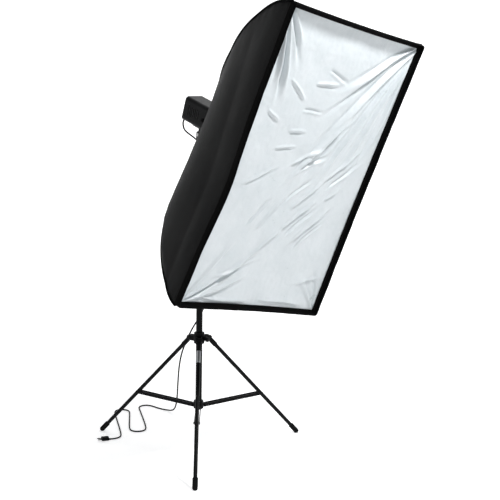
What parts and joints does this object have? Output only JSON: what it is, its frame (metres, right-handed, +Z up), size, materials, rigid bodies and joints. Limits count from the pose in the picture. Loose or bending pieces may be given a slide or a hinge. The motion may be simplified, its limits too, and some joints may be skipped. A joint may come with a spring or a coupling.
{
  "type": "studio softbox",
  "caption": "Rectangular fabric softbox on a tilting flash head and a three-section folding light stand, with its mains lead lying loose on the floor.",
  "frame": {"origin": "on the column axis, on the plane the three feet rest on", "axes": "+Z up along the column; the front leg points along -Y; the head is turned 42.5 degrees from -Y towards +X and tilted 18 degrees down"},
  "size_m": [1.3556, 1.4691, 1.9044],
  "materials": {
    "black_tube": "satin black coating",
    "black_casting": "fine moulded grain",
    "knob_plastic": "fine moulded grain",
    "rubber": "matt",
    "lead_rubber": "satin",
    "bright_steel": "zinc plated",
    "bracket_metal": "semi-matt black enamel",
    "housing_paint": "fine textured black paint",
    "panel_plastic": "fine moulded grain",
    "board": "solder mask",
    "lamp_glass": "clear, slightly frosted",
    "red_plastic": "polished",
    "rod_steel": "drawn spring steel",
    "black_fabric": "coated nylon weave",
    "white_fabric": "thin white diffusion nylon"
  },
  "bodies": {
    "column": {"lower_tube": "black_tube", "brace_bracket": "black_casting", "column_end_plug": "rubber", "brace_pins": "bracket_metal", "lower_lock_collar": "black_casting", "lead_lower": "lead_rubber", "mains_plug": "lead_rubber"},
    "leg_collar": {"leg_collar": "black_casting", "leg_pins": "bracket_metal"},
    "leg_collar_knob": {"leg_collar_knob": "knob_plastic"},
    "leg_front": {"leg_tube_front": "black_tube", "leg_end_front": "black_casting", "foot_front": "rubber"},
    "leg_left": {"leg_tube_left": "black_tube", "leg_end_left": "black_casting", "foot_left": "rubber"},
    "leg_right": {"leg_tube_right": "black_tube", "leg_end_right": "black_casting", "foot_right": "rubber"},
    "brace_front": {"brace_front": "black_tube"},
    "brace_left": {"brace_left": "black_tube"},
    "brace_right": {"brace_right": "black_tube"},
    "mid_section": {"mid_tube": "black_tube", "upper_lock_collar": "black_casting"},
    "lower_lock_knob": {"lower_lock_knob": "knob_plastic"},
    "upper_lock_knob": {"upper_lock_knob": "knob_plastic"},
    "top_section": {"top_tube": "black_tube", "spigot": "bright_steel", "lead_top": "lead_rubber"},
    "receiver": {"stand_receiver": "bracket_metal", "tilt_bolt": "bright_steel", "lead_yoke": "lead_rubber"},
    "receiver_knob": {"receiver_knob": "knob_plastic"},
    "tilt_lever": {"tilt_lever": "knob_plastic"},
    "flash_head": {"tilt_lug": "bracket_metal", "head_housing": "housing_paint", "rear_panel": "panel_plastic", "front_flange": "bracket_metal", "circuit_board": "board", "capacitors": "panel_plastic", "cooling_fan": "panel_plastic", "flash_tube": "lamp_glass", "modelling_lamp": "lamp_glass", "strain_relief": "rubber", "lead_head": "lead_rubber"},
    "power_dial": {"power_dial": "knob_plastic"},
    "lamp_dial": {"lamp_dial": "knob_plastic"},
    "test_button": {"test_button": "red_plastic"},
    "rocker_switch": {"rocker_switch": "red_plastic"},
    "softbox": {"speed_ring": "bracket_metal", "rods": "rod_steel", "rod_pockets": "black_fabric", "panel_top": "black_fabric", "panel_bottom": "black_fabric", "panel_left": "black_fabric", "panel_right": "black_fabric", "rim_band": "black_fabric", "front_diffuser": "white_fabric", "inner_baffle": "white_fabric"},
    "ring_lock_knob": {"ring_lock_knob": "knob_plastic"}
  },
  "joints": [
    {"name": "collar_slide", "type": "slide", "parent": "column", "child": "leg_collar", "axis": [0, 0, 1], "range_m": [0, 0.3806]},
    {"name": "leg_front_fold", "type": "hinge", "parent": "leg_collar", "child": "leg_front", "pos_m": [0, -0.045, 0.5], "axis": [1, 0, 0], "range_deg": [0, 42.35]},
    {"name": "leg_left_fold", "type": "hinge", "parent": "leg_collar", "child": "leg_left", "pos_m": [-0.03897, 0.0225, 0.5], "axis": [-0.5, -0.866, 0], "range_deg": [0, 42.35]},
    {"name": "leg_right_fold", "type": "hinge", "parent": "leg_collar", "child": "leg_right", "pos_m": [0.03897, 0.0225, 0.5], "axis": [-0.5, 0.866, 0], "range_deg": [0, 42.35]},
    {"name": "brace_front_fold", "type": "hinge", "parent": "column", "child": "brace_front", "pos_m": [0, -0.03, 0.2], "axis": [-1, 0, 0], "range_deg": [0, 81.99]},
    {"name": "brace_left_fold", "type": "hinge", "parent": "column", "child": "brace_left", "pos_m": [-0.02598, 0.015, 0.2], "axis": [0.5, 0.866, 0], "range_deg": [0, 81.99]},
    {"name": "brace_right_fold", "type": "hinge", "parent": "column", "child": "brace_right", "pos_m": [0.02598, 0.015, 0.2], "axis": [0.5, -0.866, 0], "range_deg": [0, 81.99]},
    {"name": "leg_collar_knob_turn", "type": "hinge", "parent": "leg_collar", "child": "leg_collar_knob", "pos_m": [0.03464, -0.02, 0.5], "axis": [0.866, -0.5, 0], "range_deg": [0, 360]},
    {"name": "mid_slide", "type": "slide", "parent": "column", "child": "mid_section", "axis": [0, 0, 1], "range_m": [-0.17, 0.44]},
    {"name": "lower_lock_knob_turn", "type": "hinge", "parent": "column", "child": "lower_lock_knob", "pos_m": [-0.035, 0, 0.95], "axis": [-1, 0, 0], "range_deg": [0, 360]},
    {"name": "top_slide", "type": "slide", "parent": "mid_section", "child": "top_section", "axis": [0, 0, 1], "range_m": [-0.08, 0.45], "deforming": ["lead_lower", "lead_top"]},
    {"name": "upper_lock_knob_turn", "type": "hinge", "parent": "mid_section", "child": "upper_lock_knob", "pos_m": [-0.033, 0, 1.185], "axis": [-1, 0, 0], "range_deg": [0, 360]},
    {"name": "head_pan", "type": "hinge", "parent": "top_section", "child": "receiver", "pos_m": [0, 0, 1.31], "axis": [0, 0, 1], "continuous": true, "deforming": ["lead_yoke"]},
    {"name": "receiver_knob_turn", "type": "hinge", "parent": "receiver", "child": "receiver_knob", "pos_m": [-0.02581, -0.02365, 1.318], "axis": [-0.7373, -0.6756, 0], "range_deg": [0, 360]},
    {"name": "head_tilt", "type": "hinge", "parent": "receiver", "child": "flash_head", "pos_m": [0, 0, 1.38], "axis": [0.7373, 0.6756, 0], "range_deg": [-78, 8], "deforming": ["lead_head"]},
    {"name": "tilt_lever_turn", "type": "hinge", "parent": "receiver", "child": "tilt_lever", "pos_m": [0.01917, 0.01757, 1.38], "axis": [0.7373, 0.6756, 0], "range_deg": [0, 60]},
    {"name": "softbox_spin", "type": "hinge", "parent": "flash_head", "child": "softbox", "pos_m": [0.07581, -0.08274, 1.42765], "axis": [0.6425, -0.7012, -0.309], "continuous": true},
    {"name": "ring_lock_knob_turn", "type": "hinge", "parent": "softbox", "child": "ring_lock_knob", "pos_m": [0.00757, -0.13925, 1.44634], "axis": [-0.6869, -0.7058, 0.1733], "range_deg": [0, 360]},
    {"name": "power_dial_turn", "type": "hinge", "parent": "flash_head", "child": "power_dial", "pos_m": [-0.05388, 0.02623, 1.51588], "axis": [-0.6425, 0.7012, 0.309], "range_deg": [-135, 135]},
    {"name": "lamp_dial_turn", "type": "hinge", "parent": "flash_head", "child": "lamp_dial", "pos_m": [-0.02144, 0.05596, 1.51588], "axis": [-0.6425, 0.7012, 0.309], "range_deg": [-135, 135]},
    {"name": "test_button_press", "type": "slide", "parent": "flash_head", "child": "test_button", "axis": [0.6425, -0.7012, -0.309], "range_m": [0, 0.002], "stiffness_N_per_m": 600},
    {"name": "rocker_switch_tip", "type": "hinge", "parent": "flash_head", "child": "rocker_switch", "pos_m": [-0.02106, 0.06443, 1.47156], "axis": [0.7373, 0.6756, 0], "range_deg": [-8, 8]}
  ],
  "couplings": [
    {"joint": "leg_front_fold", "follows": "collar_slide", "rad_per_m": 1.9374},
    {"joint": "leg_left_fold", "follows": "collar_slide", "rad_per_m": 1.9374},
    {"joint": "leg_right_fold", "follows": "collar_slide", "rad_per_m": 1.9374},
    {"joint": "brace_front_fold", "follows": "collar_slide", "rad_per_m": 3.7554},
    {"joint": "brace_left_fold", "follows": "collar_slide", "rad_per_m": 3.7554},
    {"joint": "brace_right_fold", "follows": "collar_slide", "rad_per_m": 3.7554}
  ]
}
